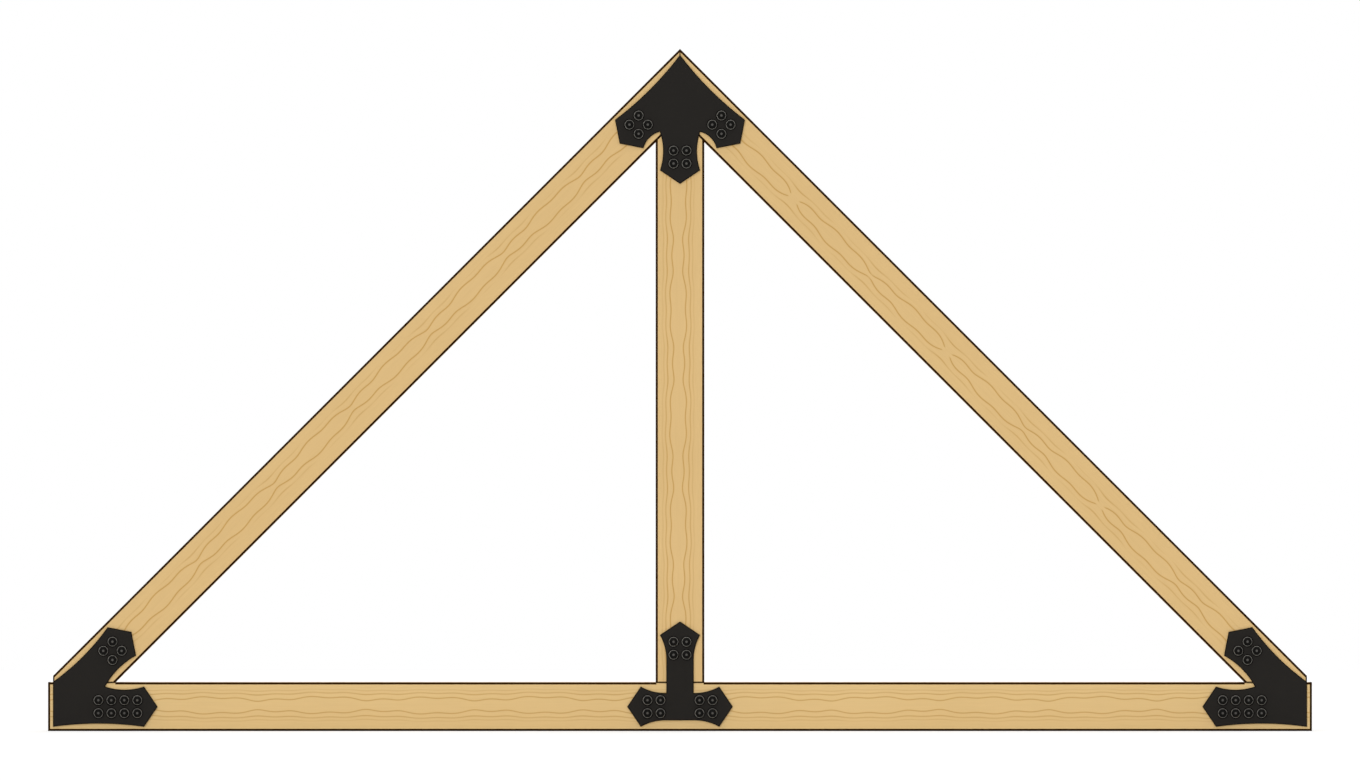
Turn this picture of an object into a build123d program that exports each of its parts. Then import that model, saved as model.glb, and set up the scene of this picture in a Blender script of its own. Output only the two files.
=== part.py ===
from build123d import *
from math import cos, radians, sin, tan
import os

# A king-post roof truss of four square timbers: a tie beam, two rafters that butt at the apex
# and stand on the tie beam, and a king post between. Shaped steel plates on both faces hold
# every joint, clamped by bolts that run through the timbers to cap nuts on the far side.
# X runs along the span, Y through the thickness with the front at -Y, and Z up.
# The origin is at the middle of the tie beam's underside. Millimetres and degrees.

# Timbers
timber_size = 190.5         # side of the square timbers, eight-inch stock after planing
pitch = 45.0                # slope of both rafters
half_span = 2454.6          # from the middle to the rafters' upright ends
heel_height = 25.4          # upright end of a rafter above the tie beam
beam_projection = 19.6      # tie beam past the rafters' upright ends
arris_chamfer = 6.35        # planed long edges, and the upright edges of the tie beam's ends

# Steel plates
plate_thickness = 6.35
plate_margin = 16.5         # timber left bare beside the widest part of a plate's arm
point_length = 53.0         # pointed head of an arm, from shoulders to tip
scallop_depth = 12.5        # hollow in the long sides of the arms
neck_width = 107.0          # king foot plate between its heads
flare_length = 96.0         # curve from the neck out to the shoulders
shortest_edge = 0.01        # a shorter edge is left out of an outline

# Reach of each arm, from the crossing of the timbers' centre lines to its tip
apex_rafter_reach = 334.0
apex_tail_reach = 393.7
foot_post_reach = 333.5
foot_beam_reach = 206.7
heel_rafter_reach = 414.2
heel_beam_reach = 395.4

# Bolts and cap nuts, whose heads are alike: a round flange under a hexagon
bolt_diameter = 12.7
bolt_clearance = 1.6        # hole wider than the bolt
bolt_pitch = 50.8           # spacing along and across an arm
tip_to_bolts = 79.4         # tip of an arm to its first row
arm_rows = 2                # rows of two bolts on an arm
heel_beam_rows = 4          # rows on the heel plate's long lower arm
flange_diameter = 40.0
flange_thickness = 3.0
hex_across_flats = 30.0
hex_height = 13.0
bolt_end = 9.0              # bolt past the back plate, inside its cap nut
thread_clearance = 0.2      # nut's bore wider than the bolt
bore_relief = 1.0           # nut's bore deeper than the bolt reaches

# The shanks, their holes and the flanges are round. There are 48 bolts, so each round
# section is drawn with few sides, its corners on the circle.
shank_sides = 8
flange_sides = 10

# Places that follow from the sizes above
half_timber = timber_size / 2
beam_axis = half_timber
slope = tan(radians(pitch))
rafter_run = timber_size / cos(radians(pitch))      # a rafter's upright thickness
apex_top = timber_size + heel_height + half_span * slope
apex_underside = apex_top - rafter_run
apex_crossing = Vector(0, apex_top - rafter_run / 2)
foot_crossing = Vector(0, beam_axis)
heel_crossing = Vector((beam_axis - apex_crossing.Y) / slope, beam_axis)
toe_distance = (apex_underside - timber_size) / slope
arm_half_width = half_timber - plate_margin
plate_face = half_timber + plate_thickness
hole_diameter = bolt_diameter + bolt_clearance


def through(section, front, back):
    """Solid of a section drawn on the elevation, from one depth along Y to another."""
    return extrude(Plane.XZ.offset(-back) * section, amount=back - front)


def on_other_face(solid):
    return mirror(solid, about=Plane.XZ)


def on_other_end(solid):
    return mirror(solid, about=Plane.YZ)


class Arm:
    """One arm of a plate: its pointed head, straight side lines and bolt rows."""

    def __init__(self, crossing, angle, reach, rows=arm_rows):
        self.along = Vector(cos(radians(angle)), sin(radians(angle)))
        self.across = Vector(-self.along.Y, self.along.X)
        self.crossing = crossing
        self.tip = crossing + self.along * reach
        self.rows = rows

    def beside(self, distance_along, distance_across):
        """Point at a distance out along the arm and to its left, seen from the crossing."""
        return self.crossing + self.along * distance_along + self.across * distance_across

    def reach(self):
        return (self.tip - self.crossing).length

    def shoulder(self, side):
        return self.beside(self.reach() - point_length, side * arm_half_width)

    def side_height_at(self, side, x):
        """Height of a side line where it passes a given X."""
        start = self.beside(0, side * arm_half_width)
        return start.Y + (x - start.X) * self.along.Y / self.along.X

    def bolts(self):
        first = self.reach() - tip_to_bolts
        return [
            self.beside(first - row * bolt_pitch, side * bolt_pitch / 2)
            for row in range(self.rows)
            for side in (-1, 1)
        ]


apex_left_arm = Arm(apex_crossing, 180 + pitch, apex_rafter_reach)
apex_right_arm = Arm(apex_crossing, -pitch, apex_rafter_reach)
apex_tail = Arm(apex_crossing, -90, apex_tail_reach)
foot_post_arm = Arm(foot_crossing, 90, foot_post_reach)
foot_left_arm = Arm(foot_crossing, 180, foot_beam_reach)
foot_right_arm = Arm(foot_crossing, 0, foot_beam_reach)
heel_rafter_arm = Arm(heel_crossing, pitch, heel_rafter_reach)
heel_beam_arm = Arm(heel_crossing, 0, heel_beam_reach, heel_beam_rows)

apex_arms = [apex_left_arm, apex_tail, apex_right_arm]
foot_arms = [foot_left_arm, foot_post_arm, foot_right_arm]
heel_arms = [heel_rafter_arm, heel_beam_arm]


def bolt_places(arms):
    return [place for arm in arms for place in arm.bolts()]


def on_other_half(places):
    return [Vector(-place.X, place.Y) for place in places]


def round_section(place, diameter, sides=shank_sides):
    """A round section at one bolt's place, drawn with few sides."""
    return Pos(place.X, place.Y) * RegularPolygon(diameter / 2, sides)


def hexagon(place):
    """A hexagon at one bolt's place, with level flats above and below."""
    return Pos(place.X, place.Y) * RegularPolygon(hex_across_flats / 2, 6, major_radius=False)


def bolt_holes(places):
    """Prisms that clear the bolts right through the timbers."""
    return [
        through(round_section(place, hole_diameter), -plate_face, plate_face)
        for place in places
    ]


def timber(corners, direction, places):
    """A timber with its long edges planed off and the bolts' holes bored through."""
    outline = make_face(Polyline(*corners, close=True))
    solid = through(outline, -half_timber, half_timber)
    solid = chamfer(solid.edges().filter_by(Axis((0, 0, 0), direction)), arris_chamfer)
    return solid - bolt_holes(places)


def make_tie_beam():
    """Square beam under both rafters, with its long edges and its ends' upright edges planed off."""
    half_length = half_span + beam_projection
    beam = Pos(0, 0, beam_axis) * Box(2 * half_length, timber_size, timber_size)
    beam = chamfer(beam.edges().filter_by(Axis.Y, reverse=True), arris_chamfer)
    heel_places = bolt_places([heel_beam_arm])
    places = bolt_places([foot_left_arm, foot_right_arm]) + heel_places + on_other_half(heel_places)
    return beam - bolt_holes(places)


def make_rafter():
    """Left rafter: upright cuts at both ends and a level seat on the tie beam."""
    corners = [
        (0, apex_top),
        (-half_span, timber_size + heel_height),
        (-half_span, timber_size),
        (-toe_distance, timber_size),
        (0, apex_underside),
    ]
    places = bolt_places([apex_left_arm, heel_rafter_arm])
    return timber(corners, (1, 0, slope), places)


def make_king_post():
    """Post with a square foot, and a head cut to a point that fits under both rafters."""
    shoulder = apex_underside - half_timber * slope
    corners = [
        (-half_timber, timber_size),
        (half_timber, timber_size),
        (half_timber, shoulder),
        (0, apex_underside),
        (-half_timber, shoulder),
    ]
    places = bolt_places([apex_tail, foot_post_arm])
    return timber(corners, (0, 0, 1), places)


def plate(edges, places):
    """Flat plate of one outline on the front face, with its bolt holes."""
    holes = [round_section(place, hole_diameter) for place in places]
    return through(make_face(edges) - holes, -plate_face, -half_timber)


def head(arm):
    """The two straight edges of an arm's point, from its right shoulder to its left."""
    return [Line(arm.shoulder(-1), arm.tip), Line(arm.tip, arm.shoulder(1))]


def side_crossing(first, second):
    """Corner where one arm's left side line meets the next arm's right side line."""
    start = first.beside(0, arm_half_width)
    other = second.beside(0, -arm_half_width)
    reach = (other - start).dot(second.across) / first.along.dot(second.across)
    return start + first.along * reach


def scallop(start, end):
    """Hollow edge; the plate lies on the left on the way from start to end."""
    return SagittaArc(start, end, scallop_depth)


def make_apex_plate():
    """Arrow-shaped plate: two arms down the rafters and a tail down the post."""
    left_corner = side_crossing(apex_left_arm, apex_tail)
    right_corner = side_crossing(apex_tail, apex_right_arm)
    top = side_crossing(apex_right_arm, apex_left_arm)
    edges = head(apex_left_arm) + head(apex_tail) + head(apex_right_arm)
    edges += [
        scallop(top, apex_left_arm.shoulder(-1)),
        scallop(apex_left_arm.shoulder(1), left_corner),
        scallop(left_corner, apex_tail.shoulder(-1)),
        scallop(apex_tail.shoulder(1), right_corner),
        scallop(right_corner, apex_right_arm.shoulder(-1)),
        scallop(apex_right_arm.shoulder(1), top),
    ]
    return plate(edges, bolt_places(apex_arms))


def flare(arm, side, neck_limit):
    """Curve from the arm's straight neck out to one shoulder, and where the neck ends."""
    length = min(flare_length, arm.reach() - point_length - neck_limit)
    start = arm.beside(arm.reach() - point_length - length, side * neck_width / 2)
    return TangentArc(start, arm.shoulder(side), tangent=arm.along), start


def make_foot_plate():
    """Plate like an upturned T: a neck up the post and two short arms on the beam."""
    half_neck = neck_width / 2
    edges = head(foot_left_arm) + head(foot_post_arm) + head(foot_right_arm)
    bottom_ends = []
    for side, beam_arm in ((1, foot_left_arm), (-1, foot_right_arm)):
        corner = foot_crossing + Vector(-side * half_neck, half_neck)
        post_curve, post_start = flare(foot_post_arm, side, half_neck)
        upper_curve, upper_start = flare(beam_arm, -side, half_neck)
        lower_curve, lower_start = flare(beam_arm, side, half_neck)
        edges += [post_curve, upper_curve, lower_curve, Line(post_start, corner)]
        if (upper_start - corner).length > shortest_edge:
            edges.append(Line(upper_start, corner))
        bottom_ends.append(lower_start)
    edges.append(Line(*bottom_ends))
    return plate(edges, bolt_places(foot_arms))


def make_heel_plate():
    """Plate at the left end, its upright edge flush with the rafter's upright end."""
    upper_corner = Vector(-half_span, heel_rafter_arm.side_height_at(1, -half_span))
    lower_corner = Vector(-half_span, heel_beam_arm.side_height_at(-1, -half_span))
    inner_corner = side_crossing(heel_beam_arm, heel_rafter_arm)
    edges = head(heel_rafter_arm) + head(heel_beam_arm)
    edges += [
        Line(upper_corner, lower_corner),
        scallop(lower_corner, heel_beam_arm.shoulder(-1)),
        scallop(heel_beam_arm.shoulder(1), inner_corner),
        scallop(inner_corner, heel_rafter_arm.shoulder(-1)),
        scallop(heel_rafter_arm.shoulder(1), upper_corner),
    ]
    return plate(edges, bolt_places(heel_arms))


def flanged_hexagon(place):
    """Head of a bolt, seated on the front plate: a round flange and the hexagon on it."""
    flange_face = -plate_face - flange_thickness
    flange = through(round_section(place, flange_diameter, flange_sides), flange_face, -plate_face)
    return flange + through(hexagon(place), flange_face - hex_height, flange_face)


def make_bolt(place):
    """Bolt from its head on the front plate to its end inside the cap nut."""
    shank = through(round_section(place, bolt_diameter), -plate_face, plate_face + bolt_end)
    return (flanged_hexagon(place) + shank).solid()


def make_nut(place):
    """Cap nut on the back plate: a head like the bolt's, with a blind bore for the bolt's end."""
    bore = through(
        round_section(place, bolt_diameter + thread_clearance),
        plate_face,
        plate_face + bolt_end + bore_relief,
    )
    return (on_other_face(flanged_hexagon(place)) - bore).solid()


def save(name, *solids):
    export_step(Compound(children=list(solids), label=name), f"parts/{name}.step")


def main():
    os.makedirs("parts", exist_ok=True)
    save("tie_beam", make_tie_beam())
    save("king_post", make_king_post())
    rafter = make_rafter()
    save("rafter_left", rafter)
    save("rafter_right", on_other_end(rafter))

    heel_plate = make_heel_plate()
    plates = {
        "apex_plate": make_apex_plate(),
        "king_foot_plate": make_foot_plate(),
        "heel_plate_left": heel_plate,
        "heel_plate_right": on_other_end(heel_plate),
    }
    for name, front_plate in plates.items():
        save(f"{name}_front", front_plate)
        save(f"{name}_back", on_other_face(front_plate))

    heel_places = bolt_places(heel_arms)
    joints = {
        "apex": bolt_places(apex_arms),
        "king_foot": bolt_places(foot_arms),
        "heel_left": heel_places,
        "heel_right": on_other_half(heel_places),
    }
    for name, places in joints.items():
        save(f"{name}_bolts", *[make_bolt(place) for place in places])
        save(f"{name}_nuts", *[make_nut(place) for place in places])


main()
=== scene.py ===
"""Looks of a king-post roof truss: pale box-heart timbers with stained arrises, black steel
plates on both faces, and flanged bolts and cap nuts. Metres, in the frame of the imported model:
X along the span, the front towards -Y, Z up from the floor."""

import logging
import math
from dataclasses import dataclass
from enum import Enum
from typing import Dict, List, Optional, Sequence, Tuple, Union

import bmesh
import bpy
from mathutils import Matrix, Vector


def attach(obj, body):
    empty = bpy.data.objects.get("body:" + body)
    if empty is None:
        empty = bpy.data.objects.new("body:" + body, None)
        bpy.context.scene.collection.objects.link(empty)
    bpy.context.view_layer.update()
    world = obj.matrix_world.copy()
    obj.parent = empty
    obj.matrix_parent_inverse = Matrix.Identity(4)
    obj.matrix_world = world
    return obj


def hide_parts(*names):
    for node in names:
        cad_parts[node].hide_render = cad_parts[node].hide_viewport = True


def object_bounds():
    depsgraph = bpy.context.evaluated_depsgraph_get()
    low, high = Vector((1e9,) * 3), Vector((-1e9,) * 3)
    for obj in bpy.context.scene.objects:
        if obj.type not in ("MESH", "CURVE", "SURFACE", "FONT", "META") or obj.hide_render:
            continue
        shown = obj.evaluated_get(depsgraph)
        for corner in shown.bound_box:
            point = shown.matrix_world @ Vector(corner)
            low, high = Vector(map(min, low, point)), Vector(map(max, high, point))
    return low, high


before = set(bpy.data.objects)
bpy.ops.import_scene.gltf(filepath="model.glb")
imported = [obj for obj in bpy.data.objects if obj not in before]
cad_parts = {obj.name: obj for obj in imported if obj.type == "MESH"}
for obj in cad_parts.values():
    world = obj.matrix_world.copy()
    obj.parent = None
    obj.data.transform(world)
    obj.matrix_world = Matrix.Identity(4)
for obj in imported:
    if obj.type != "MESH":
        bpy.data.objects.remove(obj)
cad_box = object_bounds()

LOG = logging.getLogger("roof_truss")
BODY = "root"

Colour = Tuple[float, float, float, float]
Triple = Tuple[float, float, float]
Socket = bpy.types.NodeSocket

WHITE: Colour = (1.0, 1.0, 1.0, 1.0)
MERGE_DISTANCE = 1e-6

# Sizes that the finishes and the pieces share
TIMBER_SIZE = 0.1905
HALF_TIMBER = TIMBER_SIZE / 2
ARRIS_CHAMFER = 0.00635
HEEL_HEIGHT = 0.0254
PLATE_THICKNESS = 0.00635
PLATE_FACE = HALF_TIMBER + PLATE_THICKNESS
BOLT_END = 0.009
SEAT_MARGIN = 0.003

# The rafters rise at 45 degrees, so a distance along the span is a height below the apex
HALF_BEAM_LENGTH = cad_box[1][0]
APEX_HEIGHT = cad_box[1][2]
RAFTER_END = APEX_HEIGHT - TIMBER_SIZE - HEEL_HEIGHT
RAFTER_TOE = APEX_HEIGHT - TIMBER_SIZE - TIMBER_SIZE * math.sqrt(2)
APEX_CROSSING_HEIGHT = APEX_HEIGHT - TIMBER_SIZE / math.sqrt(2)
RAFTER_SHIFT = APEX_CROSSING_HEIGHT / math.sqrt(2)

# Lengths of the waves in the growth rings, which all four timbers share
WANDER_LENGTH = 0.7674
TAPER_LENGTH = 0.43209
RIPPLE_LENGTH = 0.14121


def screen_colour(red: float, green: float, blue: float) -> Colour:
    """Turns a colour as a screen shows it into the linear one that a shader takes.

    Args:
        red: Red from 0 to 255.
        green: Green from 0 to 255.
        blue: Blue from 0 to 255.

    Returns:
        Linear red, green, blue and an alpha of 1.
    """
    linear = []
    for level in (red / 255, green / 255, blue / 255):
        linear.append(level / 12.92 if level <= 0.04045 else ((level + 0.055) / 1.055) ** 2.4)
    return (linear[0], linear[1], linear[2], 1.0)


class Value:
    """A number in a node tree. Python's operators on it add Math nodes."""

    def __init__(self, sheet: "Sheet", socket: Socket) -> None:
        """Wraps the socket that gives the number."""
        self.sheet = sheet
        self.socket = socket

    def __add__(self, other: "Number") -> "Value":
        """Sum."""
        return self.sheet.maths("ADD", self, other)

    def __radd__(self, other: "Number") -> "Value":
        """Sum, with the plain number first."""
        return self.sheet.maths("ADD", other, self)

    def __sub__(self, other: "Number") -> "Value":
        """Difference."""
        return self.sheet.maths("SUBTRACT", self, other)

    def __rsub__(self, other: "Number") -> "Value":
        """Difference, with the plain number first."""
        return self.sheet.maths("SUBTRACT", other, self)

    def __mul__(self, other: "Number") -> "Value":
        """Product."""
        return self.sheet.maths("MULTIPLY", self, other)

    def __rmul__(self, other: "Number") -> "Value":
        """Product, with the plain number first."""
        return self.sheet.maths("MULTIPLY", other, self)

    def __truediv__(self, other: "Number") -> "Value":
        """Quotient."""
        return self.sheet.maths("DIVIDE", self, other)

    def __neg__(self) -> "Value":
        """The number with its sign turned."""
        return self.sheet.maths("MULTIPLY", self, -1.0)

    def __abs__(self) -> "Value":
        """The number without its sign."""
        return self.sheet.maths("ABSOLUTE", self)

    def squared(self) -> "Value":
        """The number times itself."""
        return self.sheet.maths("MULTIPLY", self, self)

    def root(self) -> "Value":
        """Square root."""
        return self.sheet.maths("SQRT", self)

    def cosine(self) -> "Value":
        """Cosine of an angle in radians."""
        return self.sheet.maths("COSINE", self)

    def exponential(self) -> "Value":
        """e to this power."""
        return self.sheet.maths("EXPONENT", self)

    def fraction(self) -> "Value":
        """What is left over the next lower whole number."""
        return self.sheet.maths("FRACT", self)

    def to_nearest_whole(self) -> "Value":
        """Distance to the nearest whole number."""
        return self.sheet.maths("PINGPONG", self, 0.5)

    def at_least(self, other: "Number") -> "Value":
        """The larger of two numbers."""
        return self.sheet.maths("MAXIMUM", self, other)

    def at_most(self, other: "Number") -> "Value":
        """The smaller of two numbers."""
        return self.sheet.maths("MINIMUM", self, other)

    def above(self, limit: float) -> "Value":
        """1 where the number passes a limit, otherwise 0."""
        return self.sheet.maths("GREATER_THAN", self, limit)

    def ramp(self, low: float, high: float) -> "Value":
        """Rises smoothly from 0 to 1 between two numbers.

        Args:
            low: Where the rise starts; above high, the ramp falls instead.
            high: Where it ends.

        Returns:
            The smooth step.
        """
        node = self.sheet.add(
            "ShaderNodeMapRange",
            {"interpolation_type": "SMOOTHSTEP"},
            {"Value": self, "From Min": min(low, high), "From Max": max(low, high)},
        )
        rise = Value(self.sheet, node.outputs["Result"])
        return rise if low < high else 1 - rise

    def past(self, limit: float, softness: float) -> "Value":
        """1 past a limit and 0 short of it, with a soft edge."""
        return self.ramp(limit - softness, limit + softness)

    def short_of(self, limit: float, softness: float) -> "Value":
        """1 short of a limit and 0 past it, with a soft edge."""
        return self.ramp(limit + softness, limit - softness)

    def between(self, low: float, high: float, softness: float) -> "Value":
        """1 between two limits and 0 outside them, with soft edges."""
        return self.past(low, softness) * self.short_of(high, softness)


Number = Union[Value, float, int]
Feed = Union[Value, Socket, float, int, bool, str, Sequence[float], bpy.types.ID]


class Sheet:
    """A node tree that code fills in: a finish's, the world's or a generator's."""

    def __init__(self, tree: bpy.types.NodeTree) -> None:
        """Takes a tree and empties it."""
        self.tree = tree
        tree.nodes.clear()

    def add(
        self,
        kind: str,
        settings: Optional[Dict[str, object]] = None,
        inputs: Optional[Dict[Union[str, int], Union[Feed, List[Feed]]]] = None,
    ) -> bpy.types.Node:
        """Adds one node.

        Args:
            kind: The node's type.
            settings: Its options, which are set first.
            inputs: What its sockets take, by name or number; a list fills a socket of many.

        Returns:
            The node.
        """
        node = self.tree.nodes.new(kind)
        for name, setting in (settings or {}).items():
            setattr(node, name, setting)
        for key, feeds in (inputs or {}).items():
            for feed in feeds if isinstance(feeds, list) else [feeds]:
                self.feed(node.inputs[key], feed)
        return node

    def feed(self, socket: Socket, feed: Feed) -> None:
        """Links a value or socket into an input, or sets the input's own value."""
        if isinstance(feed, Value):
            feed = feed.socket
        if isinstance(feed, bpy.types.NodeSocket):
            self.tree.links.new(feed, socket)
        else:
            socket.default_value = feed

    def maths(self, operation: str, *numbers: Number) -> Value:
        """Adds a Math node.

        Args:
            operation: The node's operation.
            numbers: What it works on, in order.

        Returns:
            Its result.
        """
        node = self.add("ShaderNodeMath", {"operation": operation}, dict(enumerate(numbers)))
        return Value(self, node.outputs[0])

    def split(self, vector: Socket) -> Tuple[Value, Value, Value]:
        """The three numbers of a vector."""
        node = self.add("ShaderNodeSeparateXYZ", None, {"Vector": vector})
        return tuple(Value(self, output) for output in node.outputs)

    def join(self, x: Number, y: Number, z: Number) -> Socket:
        """A vector of three numbers."""
        return self.add("ShaderNodeCombineXYZ", None, {"X": x, "Y": y, "Z": z}).outputs[0]

    def dot(self, vector: Socket, direction: Triple) -> Value:
        """How far a vector points along a direction."""
        node = self.add(
            "ShaderNodeVectorMath", {"operation": "DOT_PRODUCT"}, {0: vector, 1: direction}
        )
        return Value(self, node.outputs["Value"])

    def mix(
        self, share: Number, first: Union[Socket, Colour], second: Union[Socket, Colour]
    ) -> Socket:
        """Mixes two colours.

        Args:
            share: How much of the second colour, from 0 to 1.
            first: The colour at 0.
            second: The colour at 1.

        Returns:
            The mixed colour.
        """
        node = self.add(
            "ShaderNodeMix", {"data_type": "RGBA"}, {"Factor": share, 6: first, 7: second}
        )
        return node.outputs[2]

    def noise(self, vector: Socket, scale: float, detail: float = 2.0) -> Value:
        """Cloudy noise round 0, from about -0.3 to 0.3.

        Args:
            vector: Where the noise is read.
            scale: Clouds in a metre.
            detail: How many finer layers it has.

        Returns:
            The noise.
        """
        node = self.add(
            "ShaderNodeTexNoise", None, {"Vector": vector, "Scale": scale, "Detail": detail}
        )
        return Value(self, node.outputs["Fac"]) - 0.5

    def place(self) -> Socket:
        """Where the shaded point is, in the truss's own frame."""
        return self.add("ShaderNodeTexCoord").outputs["Object"]

    def attribute(self, name: str) -> Value:
        """A number that the piece's mesh carries."""
        node = self.add("ShaderNodeAttribute", {"attribute_name": name})
        return Value(self, node.outputs["Fac"])


def put_in_scene(name: str, data: bpy.types.ID) -> bpy.types.Object:
    """Makes an object of a mesh, a camera or a light and links it to the scene."""
    thing = bpy.data.objects.new(name, data)
    bpy.context.scene.collection.objects.link(thing)
    return thing


def new_finish(name: str) -> Tuple[bpy.types.Material, Sheet]:
    """Starts an empty material and the sheet of its nodes."""
    material = bpy.data.materials.new(name)
    material.use_nodes = True
    return material, Sheet(material.node_tree)


def surface(
    sheet: Sheet,
    colour: Union[Socket, Colour],
    roughness: Number,
    specular: float,
    height: Optional[Value] = None,
    relief: float = 0.0,
) -> Socket:
    """Adds a surface shader.

    Args:
        sheet: The finish's nodes.
        colour: Its colour.
        roughness: Its roughness.
        specular: How much it reflects head-on, 0.5 being the usual.
        height: Relief from 0 to 1, if it has any.
        relief: Depth of that relief in metres.

    Returns:
        The shader.
    """
    inputs: Dict[Union[str, int], Feed] = {
        "Base Color": colour,
        "Roughness": roughness,
        "Specular IOR Level": specular,
    }
    if height is not None:
        bump = sheet.add("ShaderNodeBump", None, {"Height": height, "Distance": relief})
        inputs["Normal"] = bump.outputs["Normal"]
    return sheet.add("ShaderNodeBsdfPrincipled", None, inputs).outputs["BSDF"]


def close_finish(sheet: Sheet, shader: Socket) -> None:
    """Gives a finish its surface."""
    sheet.add("ShaderNodeOutputMaterial", None, {"Surface": shader})


@dataclass(frozen=True)
class Wave:
    """A cosine along a timber: its height, its length and the place of one crest."""

    height: float
    length: float
    crest: float

    def at(self, along: Value) -> Value:
        """The wave at a place along the timber."""
        return ((along - self.crest) * (math.tau / self.length)).cosine() * self.height


@dataclass(frozen=True)
class Pinch:
    """Places along a timber, an even step apart, where its innermost rings close."""

    depth: float
    step: float
    place: float
    sharpness: float = 12.0

    def at(self, along: Value) -> Value:
        """How far the rings are drawn in at a place along the timber."""
        turn = ((along - self.place) * (math.tau / self.step)).cosine()
        return ((turn - 1) * self.sharpness).exponential() * self.depth


@dataclass(frozen=True)
class Lie:
    """How a timber lies: the turn about Y and the shift that bring it onto its own axes."""

    turn: float
    shift: Triple

    def along(self) -> Triple:
        """The timber's long direction in the truss's frame."""
        angle = math.radians(self.turn)
        return (math.cos(angle), 0.0, math.sin(angle))


@dataclass(frozen=True)
class CutEdge:
    """Stain that laps onto the faces along an upright cut across a timber."""

    at: float
    reach: float
    strength: float


@dataclass(frozen=True)
class WoodFinish:
    """Planed softwood cut with its heart boxed in, so each face shows the rings as long
    nested waves. The rings are as wide as a tree's that grows an even area each year."""

    name: str
    lie: Lie

    # Where the heart runs, and the waves and the first line of its rings as squared radius
    pith_offset: float
    wander: Wave
    taper: Wave
    ripple: Wave
    first_line: float

    # The lines on the faces: where they fade out, their strength and half width. The fibres' seed
    fade: Tuple[float, float]
    line_strength: float
    line_width: float
    seed: float

    # Stained ends, stretches of the span where others stand on the timber, upright cuts, and
    # places where the rings close
    beam_ends: bool = False
    seats: Tuple[Tuple[float, float], ...] = ()
    cut_edges: Tuple[CutEdge, ...] = ()
    pinch: Optional[Pinch] = None

    # Growth from ring to ring as squared radius, where lines set in beside the heart, and the
    # lines on sawn ends
    ring_area: float = 0.00142
    heart_edge: Tuple[float, float] = (0.0045, 0.009)
    end_line_width: float = 0.0014
    end_line_strength: float = 0.55

    # Colours, and how far fibres, clouds and rings shift the tone between pale and deep
    pale: Colour = screen_colour(223, 189, 132)
    deep: Colour = screen_colour(209, 175, 118)
    ring_colour: Colour = screen_colour(188, 144, 71)
    stain_colour: Colour = screen_colour(46, 26, 5)
    fibre_tone: float = 0.55
    cloud_tone: float = 0.5
    ring_tone: float = 0.06

    # Surface: fibres and clouds in a metre, roughness, and relief in metres
    fibre_scale_along: float = 7.0
    fibre_scale_across: float = 260.0
    cloud_scale: float = 2.2
    roughness: float = 0.62
    fibre_roughness: float = 0.12
    line_smoothness: float = 0.06
    fibre_height: float = 0.8
    line_depth: float = 0.35
    relief: float = 0.0004

    # Stain: its lap past an arris, its edges and the seam where a timber stands on the beam
    stain_lap: float = 0.0022
    stain_softness: float = 0.0004
    wobble: float = 0.0008
    wobble_scale: float = 60.0
    wobble_at_cuts: float = 0.5
    seam: Tuple[float, float] = (-0.0024, 0.0031)
    seam_softness: float = 0.0003
    face_skin: float = 0.0012

    def make(self) -> bpy.types.Material:
        """Makes the material.

        Returns:
            The wood of one timber.
        """
        material, sheet = new_finish(self.name)
        place = sheet.place()
        own = sheet.add(
            "ShaderNodeMapping",
            {"vector_type": "POINT"},
            {
                "Vector": place,
                "Location": self.lie.shift,
                "Rotation": (0.0, math.radians(self.lie.turn), 0.0),
            },
        ).outputs[0]
        along, depth, across = sheet.split(own)
        line, rings = self.ring_lines(sheet, along, depth, across)
        fibre = self.fibre(sheet, along, depth, across)
        clouds = sheet.noise(own, self.cloud_scale)
        tone = 0.5 + fibre * self.fibre_tone + clouds * self.cloud_tone
        tone = tone + (rings.fraction() - 0.5) * self.ring_tone
        wood = sheet.mix(tone, self.deep, self.pale)
        wood = sheet.mix(line, wood, self.ring_colour)
        roughness = self.roughness + fibre * self.fibre_roughness - line * self.line_smoothness
        height = 0.5 + fibre * self.fibre_height - line * self.line_depth
        bare = surface(sheet, wood, roughness, specular=0.2, height=height, relief=self.relief)
        stained = surface(sheet, self.stain_colour, roughness=0.85, specular=0.01)
        stain = self.stain(sheet, place, along, depth, across)
        mixed = sheet.add("ShaderNodeMixShader", None, {0: stain, 1: bare, 2: stained})
        close_finish(sheet, mixed.outputs["Shader"])
        return material

    def ring_lines(
        self, sheet: Sheet, along: Value, depth: Value, across: Value
    ) -> Tuple[Value, Value]:
        """The growth rings.

        Args:
            sheet: The finish's nodes.
            along: Place along the timber.
            depth: Place through it, from its middle.
            across: Place across it in the elevation, from its middle.

        Returns:
            How dark the ring's line is, and the count of rings out from the first line.
        """
        from_pith = across - self.pith_offset - self.wander.at(along)
        squares = from_pith.squared() + depth.squared()
        waves = self.taper.at(along) + self.ripple.at(along)
        if self.pinch is not None:
            waves = waves - self.pinch.at(along)
        rings = (squares - waves - (HALF_TIMBER**2 + self.first_line)) / self.ring_area
        normal = sheet.add("ShaderNodeTexCoord").outputs["Normal"]
        on_end = abs(sheet.dot(normal, self.lie.along())).above(0.5)
        beside = abs(from_pith).at_most(abs(depth))
        spread = beside + (squares.root() - beside) * on_end
        distance = rings.to_nearest_whole() * self.ring_area / (2 * spread.at_least(0.001))
        width = self.line_width + on_end * (self.end_line_width - self.line_width)
        line = (-(distance / width).squared()).exponential()
        fade_from, fade_to = self.fade
        fade = 1 - ((beside - fade_from) / (fade_to - fade_from)).at_least(0).at_most(1)
        shown = beside.ramp(*self.heart_edge) * fade * self.line_strength
        strength = shown + on_end * (self.end_line_strength - shown)
        return line * strength, rings

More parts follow.
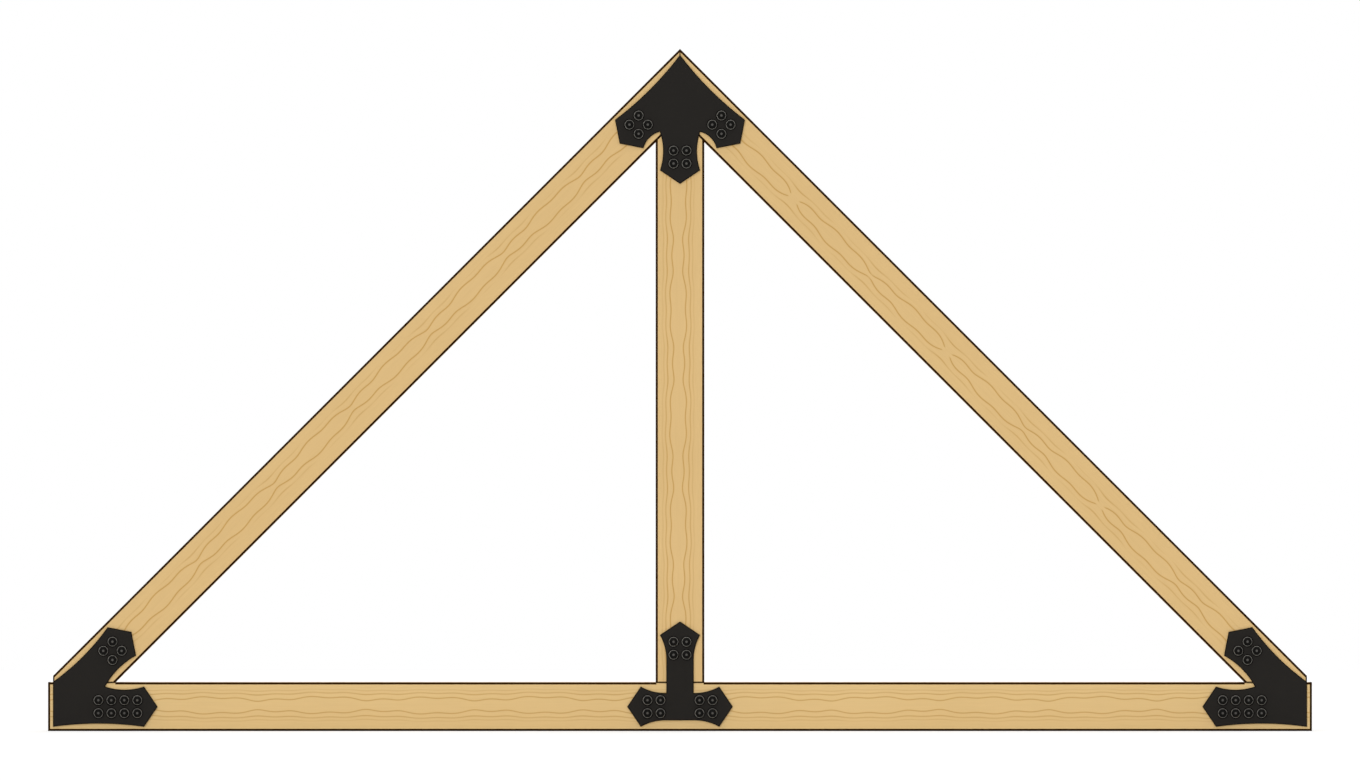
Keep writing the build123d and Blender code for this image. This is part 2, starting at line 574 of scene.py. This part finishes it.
    def fibre(self, sheet: Sheet, along: Value, depth: Value, across: Value) -> Value:
        """Fine fibres along the timber, round 0."""
        stretched = sheet.join(
            along * self.fibre_scale_along + self.seed,
            depth * self.fibre_scale_across,
            across * self.fibre_scale_across,
        )
        return sheet.noise(stretched, 1.0, 3.0)

    def stain(
        self, sheet: Sheet, place: Socket, along: Value, depth: Value, across: Value
    ) -> Value:
        """Dark stain on the planed arrises and lapped round the cut edges.

        Args:
            sheet: The finish's nodes.
            place: Where the point is in the truss's frame.
            along: Place along the timber.
            depth: Place through it.
            across: Place across it.

        Returns:
            1 where the wood is stained, otherwise 0.
        """
        wobble = sheet.noise(place, self.wobble_scale) * self.wobble
        arris = TIMBER_SIZE - ARRIS_CHAMFER - self.stain_lap
        side, face = abs(across), abs(depth)
        x, _, z = sheet.split(place)
        stain = (side + face + wobble).past(arris, self.stain_softness)
        if self.beam_ends:
            end = abs(along) - HALF_BEAM_LENGTH + HALF_TIMBER
            for other in (side, face):
                end_stain = (end + other + wobble).past(arris, self.stain_softness)
                stain = stain.at_least(end_stain)
        above_beam = z - TIMBER_SIZE + wobble * self.wobble_at_cuts
        seam = above_beam.between(*self.seam, self.seam_softness)
        for start, end in self.seats:
            bare = abs(x).between(start, end, self.seam_softness) * across.above(0.0)
            stain = stain * (1 - bare) + seam * bare
        if not self.seats:
            stain = stain.at_least(seam)
        on_face = face.above(HALF_TIMBER - self.face_skin)
        for edge in self.cut_edges:
            near = abs(x - edge.at) + wobble * self.wobble_at_cuts
            lap = near.short_of(edge.reach, self.stain_softness) * on_face
            stain = stain.at_least(lap * edge.strength)
        return stain


@dataclass(frozen=True)
class CoatFinish:
    """Black satin coat on steel, with a faint orange peel and, where bolts are named, a ring of
    painted shade round their flanges."""

    name: str
    colour: Colour = screen_colour(20, 17, 13)
    worn: Colour = screen_colour(44, 41, 38)
    roughness: float = 0.5
    specular: float = 0.12
    bolts: Tuple[Vector, ...] = ()
    # A dark ring of painted shade round each flange, standing in for its contact shadow on the
    # plate
    grease_colour: Colour = screen_colour(8, 6, 3)
    grease_radius: float = 0.0223
    grease_softness: float = 0.0007

    # Clouds, orange peel and scuffs in a metre, what they do, and the peel's relief in metres
    cloud_scale: float = 9.0
    peel_scale: float = 700.0
    scuff_scale: float = 45.0
    scuff_edge: Tuple[float, float] = (0.16, 0.3)
    wear: float = 0.12
    cloud_wear: float = 0.2
    scuff_wear: float = 0.25
    cloud_roughness: float = 0.12
    scuff_roughness: float = 0.08
    relief: float = 0.00006

    def make(self) -> bpy.types.Material:
        """Makes the material.

        Returns:
            The coated steel.
        """
        material, sheet = new_finish(self.name)
        place = sheet.place()
        clouds = sheet.noise(place, self.cloud_scale, 4.0)
        peel = sheet.noise(place, self.peel_scale)
        scuffs = sheet.noise(place, self.scuff_scale, 5.0).ramp(*self.scuff_edge)
        wear = self.wear + clouds * self.cloud_wear + scuffs * self.scuff_wear
        colour = sheet.mix(wear, self.colour, self.worn)
        roughness = self.roughness + clouds * self.cloud_roughness + scuffs * self.scuff_roughness
        coat = surface(sheet, colour, roughness, self.specular, 0.5 + peel, self.relief)
        # Painted shade round each bolt's flange
        if self.bolts:
            flange_shade = surface(sheet, self.grease_colour, roughness=0.8, specular=0.03)
            shaded_coat = sheet.add(
                "ShaderNodeMixShader", None, {0: self.near_bolts(sheet, place), 1: coat, 2: flange_shade}
            )
            coat = shaded_coat.outputs["Shader"]
        close_finish(sheet, coat)
        return material

    def near_bolts(self, sheet: Sheet, place: Socket) -> Value:
        """1 close round a bolt, otherwise 0.

        Args:
            sheet: The finish's nodes.
            place: Where the point is in the truss's frame.

        Returns:
            The share of painted shade.
        """
        x, _, z = sheet.split(place)
        squares = [(x - bolt.x).squared() + (z - bolt.z).squared() for bolt in self.bolts]
        nearest = squares[0]
        for square in squares[1:]:
            nearest = nearest.at_most(square)
        return nearest.root().short_of(self.grease_radius, self.grease_softness)


@dataclass(frozen=True)
class FastenerFinish:
    """Blackened steel of the bolts and nuts, lighter on the flange's lip, partly rubbed wear and
    partly painted highlight, and with a painted highlight on the button.
    It reads from the mesh how far a point is from the axis and above the plate."""

    name: str = "blackened_steel"
    dark: Colour = screen_colour(9, 8, 6)
    # Lip colour: rubbed wear and painted highlight
    lip: Colour = screen_colour(143, 140, 134)
    # Button colour: a painted highlight on the top of the dome
    button: Colour = screen_colour(85, 83, 80)
    specular: float = 0.06

    # Where the lip's wear and painted highlight and the button's painted highlight lie, from the
    # axis and above the plate, and how sharply they end
    lip_radii: Tuple[float, float] = (0.0162, 0.0185)
    lip_top: float = 0.0031
    button_radius: float = 0.0048
    button_base: float = 0.0151
    edge_softness: float = 0.00012
    base_softness: float = 0.0001

    # Rubbing, partly painted highlight: its marks in a metre, what it does, and its relief in
    # metres
    mark_scale: float = 260.0
    rubbing: float = 0.9
    mark_rubbing: float = 0.3
    roughness: float = 0.44
    batch_roughness: float = 0.1
    mark_roughness: float = 0.2
    lip_smoothness: float = 0.06
    relief: float = 0.00004

    def make(self) -> bpy.types.Material:
        """Makes the material.

        Returns:
            The steel of bolts and nuts.
        """
        material, sheet = new_finish(self.name)
        from_axis = sheet.attribute("from_axis")
        above = sheet.attribute("above_plate")
        batch = sheet.attribute("batch") - 0.5
        band = from_axis.between(*self.lip_radii, self.edge_softness)
        band = band * above.short_of(self.lip_top, self.edge_softness)
        centre = from_axis.short_of(self.button_radius, self.edge_softness)
        centre = centre * above.past(self.button_base, self.base_softness)
        marks = sheet.noise(sheet.place(), self.mark_scale, 3.0)
        worn_and_lit = self.rubbing + marks * self.mark_rubbing
        # The lip is lightened by wear and painted highlight, the button by painted highlight
        colour = sheet.mix(band * worn_and_lit, self.dark, self.lip)
        colour = sheet.mix(centre * worn_and_lit, colour, self.button)
        roughness = self.roughness + batch * self.batch_roughness + marks * self.mark_roughness
        roughness = roughness - band * self.lip_smoothness
        steel = surface(sheet, colour, roughness, self.specular, 0.5 + marks, self.relief)
        close_finish(sheet, steel)
        return material


class Timber(Enum):
    """The truss's timbers by node, each with the wood that it was cut from; the tie beam's tone is
    painted lighter to offset the shade it gets near the floor.
    """

    TIE_BEAM = WoodFinish(
        name="wood_tie_beam",
        lie=Lie(0.0, (0.0, 0.0, -HALF_TIMBER)),
        pith_offset=0.0055,
        wander=Wave(0.0012, WANDER_LENGTH, 0.1908),
        taper=Wave(0.000286, TAPER_LENGTH, -0.1076),
        ripple=Wave(0.000179, RIPPLE_LENGTH, -0.0347),
        first_line=0.000691,
        fade=(0.039, 0.070),
        line_strength=0.80,
        line_width=0.0022,
        seed=3.1,
        beam_ends=True,
        seats=((-HALF_TIMBER, HALF_TIMBER - SEAT_MARGIN), (RAFTER_TOE, RAFTER_END - SEAT_MARGIN)),
        # The beam's wood is painted lighter than the other timbers' to offset the shade it gets
        # near the floor
        pale=screen_colour(227, 195, 138),
        deep=screen_colour(213, 181, 124),
    )
    KING_POST = WoodFinish(
        name="wood_king_post",
        lie=Lie(90.0, (0.0, 0.0, 0.0)),
        pith_offset=0.0067,
        wander=Wave(0.0013, WANDER_LENGTH, 0.2944),
        taper=Wave(0.000286, TAPER_LENGTH, 0.3535),
        ripple=Wave(0.000179, RIPPLE_LENGTH, 0.0261),
        first_line=0.000671,
        fade=(0.039, 0.070),
        line_strength=0.92,
        line_width=0.0022,
        seed=17.4,
    )
    RAFTER_LEFT = WoodFinish(
        name="wood_rafter_left",
        lie=Lie(45.0, (-RAFTER_SHIFT, 0.0, -RAFTER_SHIFT)),
        pith_offset=0.0071,
        wander=Wave(0.0014, WANDER_LENGTH, 0.5822),
        taper=Wave(0.0002945, TAPER_LENGTH, 0.1633),
        ripple=Wave(0.0001856, RIPPLE_LENGTH, 0.0946),
        first_line=0.000583,
        fade=(0.034, 0.048),
        line_strength=0.92,
        line_width=0.0026,
        seed=29.8,
        cut_edges=(CutEdge(-RAFTER_END, 0.0055, 1.0), CutEdge(0.0, 0.0026, 0.9)),
    )
    RAFTER_RIGHT = WoodFinish(
        name="wood_rafter_right",
        lie=Lie(135.0, (-RAFTER_SHIFT, 0.0, RAFTER_SHIFT)),
        pith_offset=0.0056,
        wander=Wave(0.0013, WANDER_LENGTH, 0.5506),
        taper=Wave(0.0002945, TAPER_LENGTH, 0.4267),
        ripple=Wave(0.0001856, RIPPLE_LENGTH, 0.0033),
        first_line=0.000499,
        fade=(0.034, 0.048),
        line_strength=0.92,
        line_width=0.0026,
        seed=41.2,
        cut_edges=(CutEdge(RAFTER_END, 0.0055, 1.0), CutEdge(0.0, 0.0026, 0.9)),
        pinch=Pinch(0.00013, 0.84726, -0.630),
    )

    def dress(self) -> None:
        """Gives the timber's solid its wood."""
        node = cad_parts[self.name.lower()]
        node.data.materials.clear()
        node.data.materials.append(self.value.make())
        LOG.info("%s: wood on %d faces", node.name, len(node.data.polygons))


class Side(Enum):
    """The two faces of the truss, as the sign of Y and the turn about X that faces out."""

    FRONT = (-1, math.pi / 2)
    BACK = (1, -math.pi / 2)

    @property
    def sign(self) -> int:
        """-1 for the front and 1 for the back."""
        return self.value[0]

    @property
    def facing(self) -> Triple:
        """Turn that brings an upright fastener to face out of this side."""
        return (self.value[1], 0.0, 0.0)


class Kind(Enum):
    """What is seated on a plate."""

    BOLT = "bolts"
    CAP_NUT = "nuts"


@dataclass(frozen=True)
class FastenerShape:
    """Sizes of a flanged hexagon, bolt or cap nut, from the plate's face outwards."""

    flange_radius: float = 0.020
    flange_edge: float = 0.0009
    shelf_radius: float = 0.0184
    shelf_height: float = 0.0018
    lip_outer_radius: float = 0.0177
    lip_inner_radius: float = 0.0169
    lip_height: float = 0.003
    dish_radius: float = 0.0162
    dish_height: float = 0.002
    across_flats: float = 0.030
    crown_radius: float = 0.0142
    crown_height: float = 0.0152
    button_radius: float = 0.0052
    button_top_radius: float = 0.0046
    total_height: float = 0.016
    shank_radius: float = 0.00635
    shank_length: float = PLATE_FACE * 2 + BOLT_END
    bore_radius: float = 0.00645
    bore_depth: float = 0.010
    round_sides: int = 40


class FastenerTree:
    """Geometry Nodes that seat one flanged hexagon on every point of a mesh. Each size is a
    named input of the tree."""

    turning: float = math.radians(30)

    def __init__(self, kind: Kind, shape: FastenerShape, material: bpy.types.Material) -> None:
        """Builds the tree.

        Args:
            kind: Bolt with a shank, or cap nut with a blind bore.
            shape: The sizes, which become the inputs' values.
            material: The finish of every copy.
        """
        self.kind = kind
        self.shape = shape
        self.tree = bpy.data.node_groups.new(f"flanged_{kind.value}", "GeometryNodeTree")
        self.sheet = Sheet(self.tree)
        self.identifiers: Dict[str, str] = {}
        self.declare_sockets()
        self.given = self.sheet.add("NodeGroupInput")
        self.finish_tree(self.seat(self.fastener()), material)

    def declare_sockets(self) -> None:
        """Adds the tree's inputs and its output."""
        interface = self.tree.interface
        interface.new_socket("Geometry", in_out="INPUT", socket_type="NodeSocketGeometry")
        interface.new_socket("Geometry", in_out="OUTPUT", socket_type="NodeSocketGeometry")
        for name, size in vars(self.shape).items():
            kind = "NodeSocketInt" if isinstance(size, int) else "NodeSocketFloat"
            socket = interface.new_socket(name, in_out="INPUT", socket_type=kind)
            self.identifiers[name] = socket.identifier
        facing = interface.new_socket("facing", in_out="INPUT", socket_type="NodeSocketVector")
        seed = interface.new_socket("seed", in_out="INPUT", socket_type="NodeSocketInt")
        self.identifiers["facing"] = facing.identifier
        self.identifiers["seed"] = seed.identifier

    def size(self, name: str) -> Value:
        """One of the tree's inputs."""
        return Value(self.sheet, self.given.outputs[name])

    def turned(
        self, bottom: Number, top: Number, start: Number, end: Number, sides: Number
    ) -> Socket:
        """A closed frustum on the fastener's axis.

        Args:
            bottom: Radius at its lower end.
            top: Radius at its upper end.
            start: Height of its lower end.
            end: Height of its upper end.
            sides: How many sides it has.

        Returns:
            Its mesh.
        """
        height = self.sheet.maths("SUBTRACT", end, start)
        cone = self.sheet.add(
            "GeometryNodeMeshCone",
            {"fill_type": "NGON"},
            {"Vertices": sides, "Radius Bottom": bottom, "Radius Top": top, "Depth": height},
        )
        moved = self.sheet.add(
            "GeometryNodeTransform",
            None,
            {"Geometry": cone.outputs["Mesh"], "Translation": self.sheet.join(0.0, 0.0, start)},
        )
        return moved.outputs["Geometry"]

    def combine(self, operation: str, meshes: Sequence[Socket]) -> Socket:
        """Union or intersection of closed meshes, or the first less the others."""
        settings = {"operation": operation, "solver": "EXACT"}
        if operation == "DIFFERENCE":
            inputs = {"Mesh 1": meshes[0], "Mesh 2": list(meshes[1:])}
        else:
            inputs = {"Mesh 2": list(meshes)}
        return self.sheet.add("GeometryNodeMeshBoolean", settings, inputs).outputs["Mesh"]

    def flange(self) -> Socket:
        """Round flange with a raised lip and a dish inside it."""
        size, sides = self.size, self.size("round_sides")
        rim = size("flange_radius")
        disc = self.turned(rim, rim, 0.0, size("flange_edge"), sides)
        slope = self.turned(
            rim, size("shelf_radius"), size("flange_edge"), size("shelf_height"), sides
        )
        lip = self.turned(
            size("shelf_radius"),
            size("lip_outer_radius"),
            size("shelf_height"),
            size("lip_height"),
            sides,
        )
        whole = self.combine("UNION", [disc, slope, lip])
        flare = size("lip_inner_radius") - size("dish_radius")
        dish = self.turned(
            size("dish_radius"),
            size("lip_inner_radius") + flare,
            size("dish_height"),
            size("lip_height") * 2 - size("dish_height"),
            sides,
        )
        return self.combine("DIFFERENCE", [whole, dish])

    def hexagon(self) -> Socket:
        """Hexagon whose corners are turned down to a round crown."""
        size = self.size
        start = size("shelf_height")
        corner = size("across_flats") / (2 * math.cos(math.pi / 6))
        prism = self.turned(corner, corner, start, size("crown_height"), 6)
        rise = size("crown_height") - start
        cone = self.turned(
            size("crown_radius") + rise / math.tan(self.turning),
            size("crown_radius"),
            start,
            size("crown_height"),
            size("round_sides"),
        )
        return self.combine("INTERSECT", [prism, cone])

    def fastener(self) -> Socket:
        """The whole bolt or nut, upright at the origin."""
        size = self.size
        sides = size("round_sides")
        button = self.turned(
            size("button_radius"),
            size("button_top_radius"),
            size("crown_height"),
            size("total_height"),
            sides,
        )
        parts = [self.flange(), self.hexagon(), button]
        if self.kind is Kind.BOLT:
            shank = size("shank_radius")
            start = -size("shank_length")
            parts.append(self.turned(shank, shank, start, size("flange_edge"), sides))
            return self.combine("UNION", parts)
        bore = size("bore_radius")
        hollow = self.turned(bore, bore, -size("flange_edge"), size("bore_depth"), sides)
        return self.combine("DIFFERENCE", [self.combine("UNION", parts), hollow])

    def store(self, geometry: Socket, domain: str, name: str, value: Value) -> Socket:
        """Keeps a number on the mesh for the finish to read."""
        node = self.sheet.add(
            "GeometryNodeStoreNamedAttribute",
            {"data_type": "FLOAT", "domain": domain},
            {"Geometry": geometry, "Name": name, "Value": value},
        )
        return node.outputs["Geometry"]

    def seat(self, fastener: Socket) -> Socket:
        """Puts a copy of the fastener on every point.

        Args:
            fastener: The upright bolt or nut.

        Returns:
            The copies, still instances.
        """
        sheet = self.sheet
        x, y, z = sheet.split(sheet.add("GeometryNodeInputPosition").outputs[0])
        fastener = self.store(fastener, "POINT", "from_axis", (x.squared() + y.squared()).root())
        fastener = self.store(fastener, "POINT", "above_plate", z)
        facing = self.given.outputs["facing"]
        turn = sheet.add("FunctionNodeEulerToRotation", None, {"Euler": facing})
        copies = sheet.add(
            "GeometryNodeInstanceOnPoints",
            None,
            {
                "Points": self.given.outputs["Geometry"],
                "Instance": fastener,
                "Rotation": turn.outputs["Rotation"],
            },
        )
        chance = sheet.add(
            "FunctionNodeRandomValue", {"data_type": "FLOAT"}, {"Seed": self.given.outputs["seed"]}
        )
        batch = Value(sheet, chance.outputs[1])
        return self.store(copies.outputs["Instances"], "INSTANCE", "batch", batch)

    def finish_tree(self, copies: Socket, material: bpy.types.Material) -> None:
        """Makes the copies one mesh with one finish."""
        real = self.sheet.add("GeometryNodeRealizeInstances", None, {"Geometry": copies})
        coated = self.sheet.add(
            "GeometryNodeSetMaterial",
            None,
            {"Geometry": real.outputs["Geometry"], "Material": material},
        )
        self.sheet.add("NodeGroupOutput", None, {"Geometry": coated.outputs["Geometry"]})


def island_centres(mesh: bpy.types.Mesh) -> List[Vector]:
    """Finds the middle of each loose solid of a mesh.

    Args:
        mesh: A node's mesh, which is left as it is.

    Returns:
        The middle of each solid's box.
    """
    work = bmesh.new()
    work.from_mesh(mesh)
    bmesh.ops.remove_doubles(work, verts=work.verts, dist=MERGE_DISTANCE)
    unseen = set(work.verts)
    centres = []
    while unseen:
        island = [unseen.pop()]
        for vertex in island:
            for edge in vertex.link_edges:
                other = edge.other_vert(vertex)
                if other in unseen:
                    unseen.remove(other)
                    island.append(other)
        low = [min(v.co[axis] for v in island) for axis in range(3)]
        high = [max(v.co[axis] for v in island) for axis in range(3)]
        centres.append((Vector(low) + Vector(high)) / 2)
    work.free()
    return sorted(centres, key=lambda point: (round(point.x, 4), round(point.z, 4)))


@dataclass
class SteelPlate:
    """One plate of a joint, dressed from its solid: its outer rim eased and coated darker."""

    node: str
    side: Side
    face: bpy.types.Material
    rim: bpy.types.Material
    bolt_places: Sequence[Vector]
    easing: float = 0.0014
    easing_steps: int = 2
    rim_band: float = 0.0018
    clear_of_bolts: float = 0.012
    flat_within: float = math.radians(0.3)

    # How squarely a face points outwards: at most on the plate's edge, at least on its outer side
    # and at least on the flat of that side
    edge_on: float = 0.1
    outward: float = 0.9
    square_on: float = 0.999

    def is_rim(self, edge: bmesh.types.BMEdge) -> bool:
        """Whether an edge runs round the plate's outer face, and not round a bolt hole."""
        if len(edge.link_faces) != 2:
            return False
        facing = sorted(face.normal.y * self.side.sign for face in edge.link_faces)
        middle = (edge.verts[0].co + edge.verts[1].co) / 2
        nearest = min(
            math.hypot(middle.x - place.x, middle.z - place.z) for place in self.bolt_places
        )
        turns_out = abs(facing[0]) < self.edge_on and facing[1] > self.outward
        return turns_out and nearest > self.clear_of_bolts

    def build(self) -> bpy.types.Object:
        """Makes the plate.

        Returns:
            The piece that stands for the plate's solid.
        """
        work = bmesh.new()
        work.from_mesh(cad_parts[self.node].data)
        bmesh.ops.remove_doubles(work, verts=work.verts, dist=MERGE_DISTANCE)
        bmesh.ops.dissolve_limit(work, angle_limit=self.flat_within, verts=[], edges=work.edges)
        rim_edges = [edge for edge in work.edges if self.is_rim(edge)]
        bmesh.ops.bevel(
            work,
            geom=rim_edges,
            offset=self.easing,
            offset_type="OFFSET",
            segments=self.easing_steps,
            profile=0.5,
            affect="EDGES",
            material=1,
        )
        outer = [
            face
            for face in work.faces
            if face.material_index == 0 and face.normal.y * self.side.sign > self.square_on
        ]
        band = bmesh.ops.inset_region(
            work, faces=outer, thickness=self.rim_band, use_boundary=True, use_even_offset=True
        )
        for face in band["faces"]:
            face.material_index = 1
        mesh = bpy.data.meshes.new(f"{self.node}_steel")
        work.to_mesh(mesh)
        work.free()
        mesh.materials.append(self.face)
        mesh.materials.append(self.rim)
        piece = put_in_scene(f"{self.node}_steel", mesh)
        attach(piece, BODY)
        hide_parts(self.node)
        LOG.info("%s: %d rim edges, %d faces", piece.name, len(rim_edges), len(mesh.polygons))
        return piece


@dataclass
class FastenerSet:
    """The bolts or the cap nuts of one joint, made by the tree at the solids' places."""

    node: str
    side: Side
    tree: FastenerTree
    seed: int
    smooth_below: float = math.radians(32)

    def build(self) -> bpy.types.Object:
        """Makes the set.

        Returns:
            One piece with every fastener of the node that it stands for.
        """
        places = island_centres(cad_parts[self.node].data)
        points = bpy.data.meshes.new(f"{self.node}_places")
        seats = [(place.x, self.side.sign * PLATE_FACE, place.z) for place in places]
        points.from_pydata(seats, [], [])
        maker = put_in_scene(f"{self.node}_maker", points)
        modifier = maker.modifiers.new("fasteners", "NODES")
        modifier.node_group = self.tree.tree
        sizes = {**vars(self.tree.shape), "facing": self.side.facing, "seed": self.seed}
        for name, size in sizes.items():
            modifier[self.tree.identifiers[name]] = size
        bpy.context.view_layer.update()
        graph = bpy.context.evaluated_depsgraph_get()
        mesh = bpy.data.meshes.new_from_object(maker.evaluated_get(graph))
        bpy.data.objects.remove(maker)
        mesh.polygons.foreach_set("use_smooth", [True] * len(mesh.polygons))
        mesh.set_sharp_from_angle(angle=self.smooth_below)
        piece = put_in_scene(f"{self.node}_steel", mesh)
        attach(piece, BODY)
        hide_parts(self.node)
        LOG.info("%s: %d fasteners, %d faces", piece.name, len(places), len(mesh.polygons))
        return piece


@dataclass
class SteelJoint:
    """Plates, bolts and cap nuts of one joint of the timbers."""

    bolts_node: str
    nuts_node: str
    plate_node: str
    seed: int

    def build(
        self, rim_finish: bpy.types.Material, trees: Dict[Kind, FastenerTree]
    ) -> None:
        """Makes the joint's pieces.

        Args:
            rim_finish: Coat of the plates' eased rims.
            trees: The generator of each kind of fastener.
        """
        places = island_centres(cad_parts[self.bolts_node].data)
        plate_finish = CoatFinish(f"{self.plate_node}_coat", bolts=tuple(places)).make()
        for side, word in ((Side.FRONT, "front"), (Side.BACK, "back")):
            node = f"{self.plate_node}_{word}"
            SteelPlate(node, side, plate_finish, rim_finish, places).build()
        FastenerSet(self.bolts_node, Side.FRONT, trees[Kind.BOLT], self.seed).build()
        FastenerSet(self.nuts_node, Side.BACK, trees[Kind.CAP_NUT], self.seed + 1).build()


@dataclass
class ElevationCamera:
    """Level camera square to the front and so far off that an elevation shows, with next to
    no perspective. The drawn width of a timber sets its scale."""

    picture_width: float = 1360.0
    picture_height: float = 780.0
    timber_pixels: float = 48.66
    floor_row: float = 730.99
    front_plane: float = -0.098
    lens: float = 950.0
    sensor: float = 36.0
    sees_from: float = 1.0
    sees_to: float = 1000.0

    def place(self) -> None:
        """Makes the camera and gives it to the scene."""
        pixel = TIMBER_SIZE / self.timber_pixels
        width = self.picture_width * pixel
        height = (self.floor_row - self.picture_height / 2) * pixel
        distance = width * self.lens / self.sensor
        optics = bpy.data.cameras.new("elevation")
        optics.sensor_width = self.sensor
        optics.lens = self.lens
        optics.clip_start = self.sees_from
        optics.clip_end = self.sees_to
        camera = put_in_scene("elevation", optics)
        camera.location = (0.0, self.front_plane - distance, height)
        camera.rotation_euler = (math.pi / 2, 0.0, 0.0)
        bpy.context.scene.camera = camera
        LOG.info("camera: %.1f m off, %.3f m wide, %.3f m up", distance, width, height)


@dataclass(frozen=True)
class Lamp:
    """A wide soft lamp far away: its strength, the direction it shines in and its softness."""

    name: str
    strength: float
    direction: Triple
    softness: float

    def hang(self) -> None:
        """Adds the lamp to the scene."""
        light = bpy.data.lights.new(self.name, "SUN")
        light.energy = self.strength
        light.angle = math.radians(self.softness)
        lamp = put_in_scene(self.name, light)
        lamp.rotation_euler = Vector(self.direction).to_track_quat("-Z", "Y").to_euler()


@dataclass
class Studio:
    """Plain pale floor, white surroundings and soft lamps at a plain level."""

    floor_size: float = 60.0
    floor_drop: float = 0.0004
    paper: Tuple[Colour, Colour] = (screen_colour(249, 249, 248), screen_colour(252, 252, 251))
    grain_scale: float = 30.0
    fill: float = 0.45
    lit_floor: float = 0.4
    lamps: Tuple[Lamp, ...] = (
        Lamp("key", 0.98, (0.34, 0.94, -0.5), 50.0),
        Lamp("back", 0.98, (-0.34, -0.94, -0.5), 50.0),
        Lamp("top", 1.14, (0.0, 0.0, -1.0), 60.0),
    )

    def build(self) -> None:
        """Makes the floor, the world and the lamps."""
        half = self.floor_size / 2
        mesh = bpy.data.meshes.new("studio_floor")
        outline = ((-half, -half), (half, -half), (half, half), (-half, half))
        mesh.from_pydata([(x, y, -self.floor_drop) for x, y in outline], [], [(0, 1, 2, 3)])
        floor = put_in_scene("studio_floor", mesh)
        material, sheet = new_finish("floor_paper")
        grain = sheet.noise(sheet.place(), self.grain_scale)
        colour = sheet.mix(0.5 + grain, *self.paper)
        paper = surface(sheet, colour, roughness=0.9, specular=0.1)
        white = sheet.add("ShaderNodeEmission", None, {"Color": WHITE, "Strength": 1.0})
        share = self.seen_directly(sheet) * self.lit_floor
        lit = sheet.add("ShaderNodeMixShader", None, {0: share, 1: paper, 2: white.outputs[0]})
        close_finish(sheet, lit.outputs["Shader"])
        mesh.materials.append(material)
        self.light_world()
        for lamp in self.lamps:
            lamp.hang()
        LOG.info("studio: floor %.0f m, %d lamps", self.floor_size, len(self.lamps))

    def seen_directly(self, sheet: Sheet) -> Value:
        """1 where the camera, a mirror or a glass looks, otherwise 0."""
        path = sheet.add("ShaderNodeLightPath")
        seen = Value(sheet, path.outputs["Is Camera Ray"])
        seen = seen.at_least(Value(sheet, path.outputs["Is Glossy Ray"]))
        return seen.at_least(Value(sheet, path.outputs["Is Transmission Ray"]))

    def light_world(self) -> None:
        """White where the camera, a mirror or a glass sees it, and a plain fill elsewhere."""
        world = bpy.data.worlds.new("studio")
        world.use_nodes = True
        bpy.context.scene.world = world
        sheet = Sheet(world.node_tree)
        strength = self.fill + (1 - self.fill) * self.seen_directly(sheet)
        background = sheet.add("ShaderNodeBackground", None, {"Color": WHITE, "Strength": strength})
        sheet.add("ShaderNodeOutputWorld", None, {"Surface": background.outputs["Background"]})


def main() -> None:
    """Sets up the view and the light, then dresses every piece of the truss."""
    logging.basicConfig(level=logging.INFO, format="%(message)s")
    view = bpy.context.scene.view_settings
    view.view_transform = "Standard"
    ElevationCamera().place()
    Studio().build()
    for timber in Timber:
        timber.dress()
    rim_finish = CoatFinish(
        name="plate_rim",
        colour=screen_colour(12, 8, 4),
        worn=screen_colour(24, 19, 14),
        roughness=0.75,
        specular=0.04,
    ).make()
    steel = FastenerFinish().make()
    trees = {kind: FastenerTree(kind, FastenerShape(), steel) for kind in Kind}
    joints = (
        SteelJoint("apex_bolts", "apex_nuts", "apex_plate", 11),
        SteelJoint("king_foot_bolts", "king_foot_nuts", "king_foot_plate", 21),
        SteelJoint("heel_left_bolts", "heel_left_nuts", "heel_plate_left", 31),
        SteelJoint("heel_right_bolts", "heel_right_nuts", "heel_plate_right", 41),
    )
    for joint in joints:
        joint.build(rim_finish, trees)


if __name__ == "__main__":
    main()
